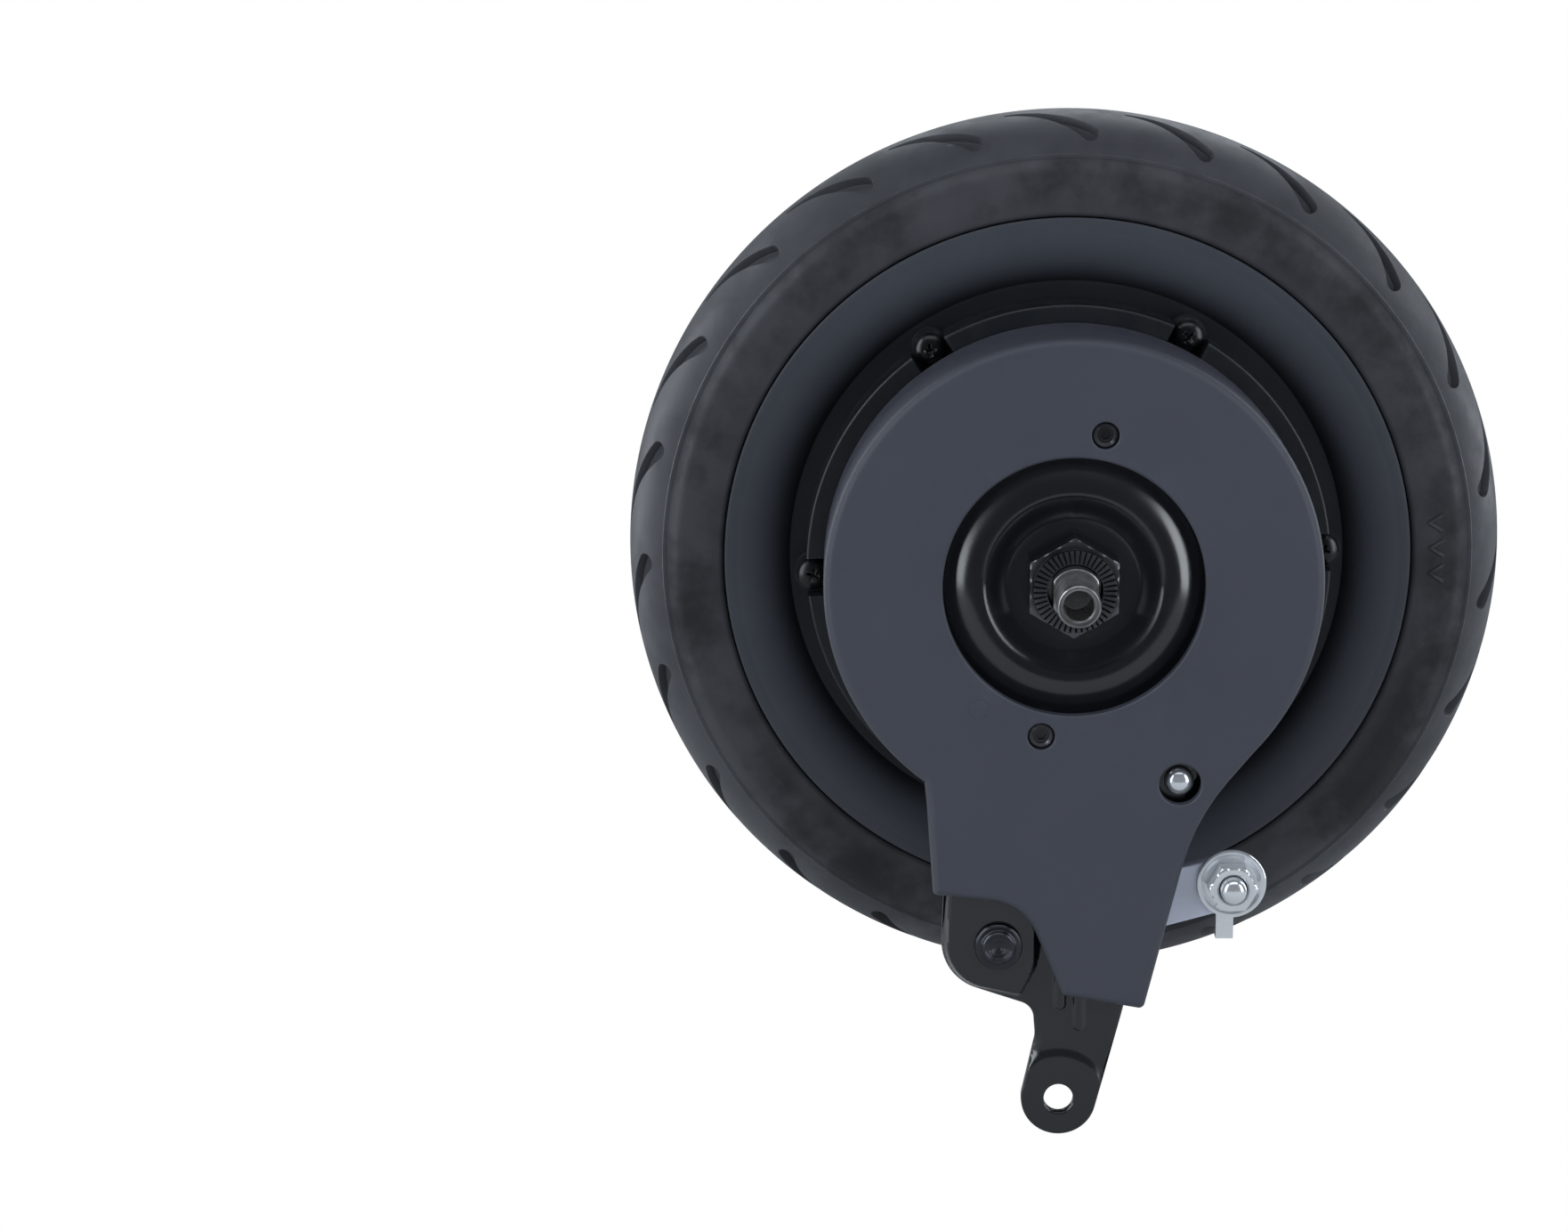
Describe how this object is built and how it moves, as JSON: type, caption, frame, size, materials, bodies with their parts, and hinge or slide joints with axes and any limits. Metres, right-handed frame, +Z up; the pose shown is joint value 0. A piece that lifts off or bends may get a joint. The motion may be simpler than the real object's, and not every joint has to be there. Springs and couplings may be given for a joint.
{
  "type": "hub motor wheel",
  "caption": "Small scooter hub motor wheel: solid treaded tyre on a dished rim around a hub motor, with a band brake under a moulded cover, a reaction arm and a cable lever beside the hub.",
  "frame": {"origin": "centre of the wheel, on the axle's centre line", "axes": "+Y along the axle towards the motor side, so the brake side faces -Y; +Z up, with the brake's reaction arm hanging along -Z; +X to the right of someone facing the brake side"},
  "size_m": [0.205, 0.1305, 0.233],
  "materials": {
    "tyre_rubber": "matte moulded tread, dusty",
    "rim_paint": "satin grey black",
    "cover_casting": "satin dark grey",
    "black_press": "gloss black",
    "shell_plastic": "fine moulded grain, dark blue grey",
    "screw_black": "black oxide",
    "axle_steel": "dark machined",
    "nut_black": "black nickel",
    "zinc_steel": "bright zinc",
    "drum_steel": "turned",
    "bearing_steel": "ground",
    "core_steel": "laminated",
    "magnet_nickel": "nickel plated",
    "copper_wire": "enamelled copper",
    "cast_aluminium": "as cast",
    "board_green": "solder mask",
    "seal_rubber": "smooth",
    "lining_fibre": "woven friction lining"
  },
  "bodies": {
    "axle_and_brake": {"axle": "axle_steel", "band_anchor_pin": "zinc_steel", "band_lining": "lining_fibre", "brake_band": "drum_steel", "brake_bearing_inner_race": "bearing_steel", "brake_cover": "shell_plastic", "brake_plate": "black_press", "brake_side_nut": "nut_black", "brake_side_sleeve": "bearing_steel", "cover_screw_lower": "screw_black", "cover_screw_upper": "screw_black", "hall_sensor_board": "board_green", "lever_pivot_pin": "screw_black", "motor_bearing_inner_race": "bearing_steel", "motor_side_nut": "nut_black", "motor_side_sleeve": "bearing_steel", "pivot_clip": "drum_steel", "stator_core": "core_steel", "stator_spider": "cast_aluminium", "stator_windings": "copper_wire"},
    "wheel": {"brake_bearing_ball_ring": "bearing_steel", "brake_bearing_outer_race": "bearing_steel", "brake_cover_screw_1": "screw_black", "brake_cover_screw_2": "screw_black", "brake_cover_screw_3": "screw_black", "brake_cover_screw_4": "screw_black", "brake_cover_screw_5": "screw_black", "brake_cover_screw_6": "screw_black", "brake_drum": "drum_steel", "brake_side_cover": "cover_casting", "brake_side_seal": "seal_rubber", "drum_screw_1": "drum_steel", "drum_screw_2": "drum_steel", "drum_screw_3": "drum_steel", "drum_screw_4": "drum_steel", "magnet_ring": "magnet_nickel", "motor_bearing_ball_ring": "bearing_steel", "motor_bearing_outer_race": "bearing_steel", "motor_cover_screw_1": "screw_black", "motor_cover_screw_2": "screw_black", "motor_cover_screw_3": "screw_black", "motor_cover_screw_4": "screw_black", "motor_cover_screw_5": "screw_black", "motor_cover_screw_6": "screw_black", "motor_side_cover": "cover_casting", "motor_side_seal": "seal_rubber", "rotor_back_iron": "core_steel", "tyre": "tyre_rubber", "wheel_rim": "rim_paint"},
    "lever": {"brake_lever": "zinc_steel", "band_pull_pin": "drum_steel", "pinch_bolt": "zinc_steel", "tab_washer": "zinc_steel", "pinch_nut": "zinc_steel"}
  },
  "joints": [
    {"name": "wheel_spin", "type": "hinge", "parent": "axle_and_brake", "child": "wheel", "pos_m": [0, 0, 0], "axis": [0, 1, 0], "continuous": true},
    {"name": "brake_lever_pull", "type": "hinge", "parent": "axle_and_brake", "child": "lever", "pos_m": [-0.0161, -0.04365, -0.0846], "axis": [0, 1, 0], "range_deg": [0, 16], "stiffness_Nm_per_rad": 2, "springref_deg": -11.46, "deforming": ["brake_band"]}
  ]
}
